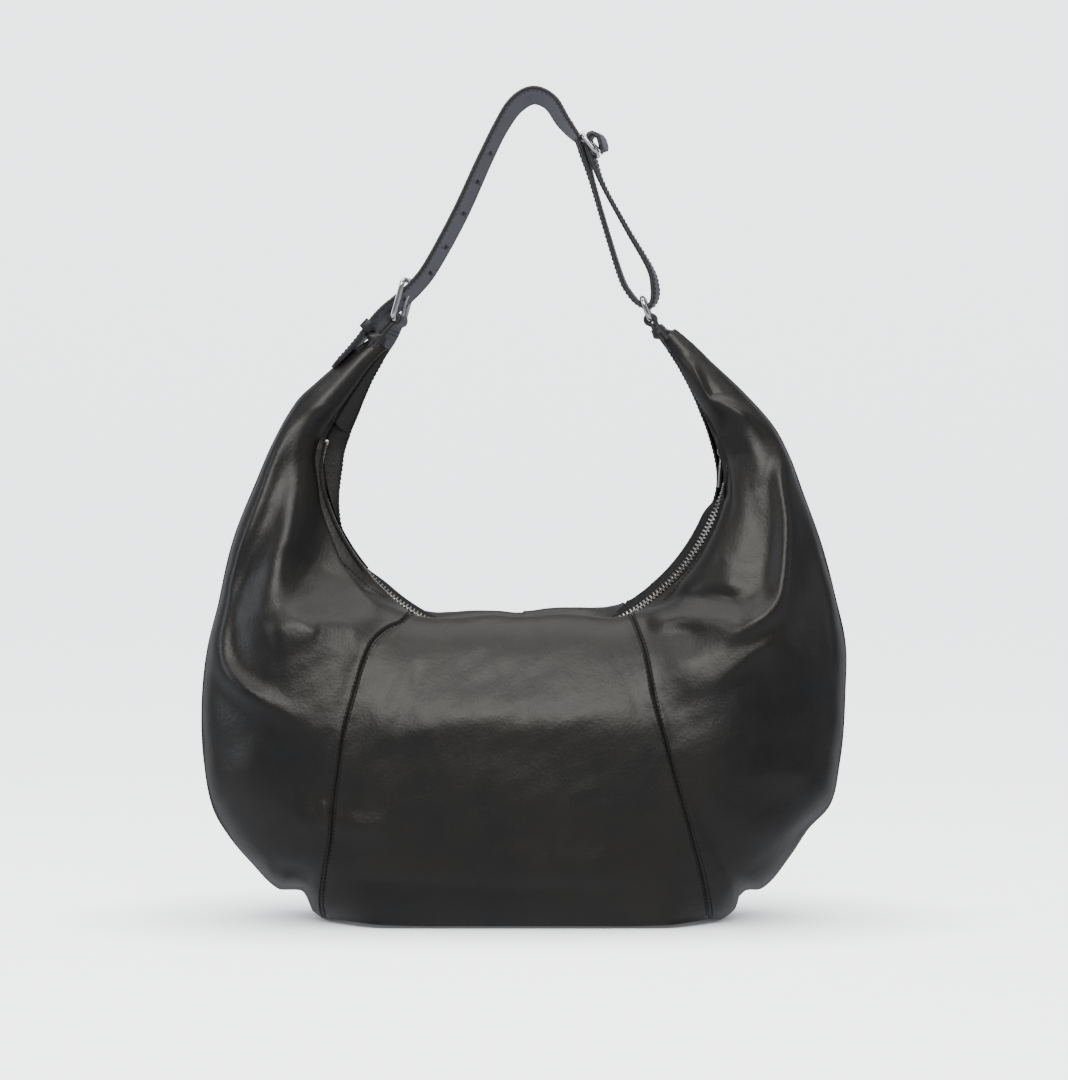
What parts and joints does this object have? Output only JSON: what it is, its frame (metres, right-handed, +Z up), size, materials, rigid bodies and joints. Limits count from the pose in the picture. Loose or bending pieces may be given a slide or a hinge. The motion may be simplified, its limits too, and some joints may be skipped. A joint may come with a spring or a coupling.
{
  "type": "hobo shoulder bag",
  "caption": "Slouchy crescent hobo shoulder bag in dark soft leather with an arched zip, a belt strap, a pin buckle, an adjuster and a ring.",
  "frame": {"origin": "centre of the bounding box in X and Y, on the floor under the base", "axes": "+Z up, -Y out of the front face, +X to the right seen from the front"},
  "size_m": [0.4998, 0.1766, 0.639],
  "materials": {
    "bag_leather": "semi-gloss, fine pebble grain",
    "strap_leather": "semi-gloss, smooth, painted edges",
    "lining": "matte woven",
    "zip_tape": "matte herringbone tape",
    "zip_metal": "polished nickel",
    "hardware": "polished nickel",
    "board": "matte"
  },
  "bodies": {
    "bag": {"front_centre_panel": "bag_leather", "front_left_panel": "bag_leather", "front_right_panel": "bag_leather", "back_centre_panel": "bag_leather", "back_left_panel": "bag_leather", "back_right_panel": "bag_leather", "base_panel": "bag_leather", "base_board": "board", "lining_front": "lining", "lining_back": "lining", "zip_tape_front": "zip_tape", "zip_tape_back": "zip_tape", "zip_teeth_front": "zip_metal", "zip_teeth_back": "zip_metal", "zip_stops": "zip_metal", "left_collar": "strap_leather", "right_collar": "strap_leather"},
    "slider": {"zip_slider": "zip_metal"},
    "puller": {"zip_puller": "zip_metal"},
    "strap_set": {"left_tab": "strap_leather", "right_tab": "strap_leather", "keeper": "strap_leather", "strap": "strap_leather", "strap_loop": "strap_leather", "buckle_frame": "hardware", "buckle_prong": "hardware", "adjuster_frame": "hardware", "adjuster_prong": "hardware", "ring": "hardware"}
  },
  "joints": [
    {"name": "zip_run", "type": "hinge", "parent": "bag", "child": "slider", "pos_m": [0, 0, 0.373], "axis": [0, 1, 0], "range_deg": [0, 148]},
    {"name": "puller_lift", "type": "hinge", "parent": "slider", "child": "puller", "pos_m": [0.15318, 0, 0.36229], "axis": [0, 1, 0], "range_deg": [0, 120]},
    {"name": "strap_swing", "type": "hinge", "parent": "bag", "child": "strap_set", "pos_m": [0, 0, 0.455], "axis": [1, 0, 0], "range_deg": [-88, 88]}
  ]
}
